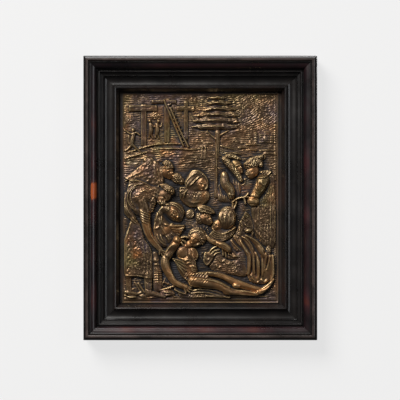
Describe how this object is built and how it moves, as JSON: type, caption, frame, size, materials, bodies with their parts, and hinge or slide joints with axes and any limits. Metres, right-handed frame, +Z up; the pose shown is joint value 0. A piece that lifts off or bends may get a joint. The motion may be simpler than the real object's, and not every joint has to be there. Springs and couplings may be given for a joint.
{
  "type": "framed relief plaque",
  "caption": "Cast bronze devotional relief of a mourning group under three crosses and a tree, in a moulded, ebonised wooden frame with a back board.",
  "frame": {"origin": "centre of the back, in the plane that meets the wall", "axes": "+Z up the plaque, +X to the viewer's right, -Y out of the relief, +Y into the wall"},
  "size_m": [0.24, 0.0275, 0.292],
  "materials": {
    "ebonised_wood": "polished black stain with a dark red mottled band",
    "patinated_bronze": "dark brown patina, rubbed golden on the high points",
    "old_pine": "bare, darkened by age"
  },
  "bodies": {
    "root": {"rail_top": "ebonised_wood", "rail_right": "ebonised_wood", "rail_bottom": "ebonised_wood", "rail_left": "ebonised_wood", "relief_plate": "patinated_bronze", "back_board": "old_pine"}
  },
  "joints": []
}
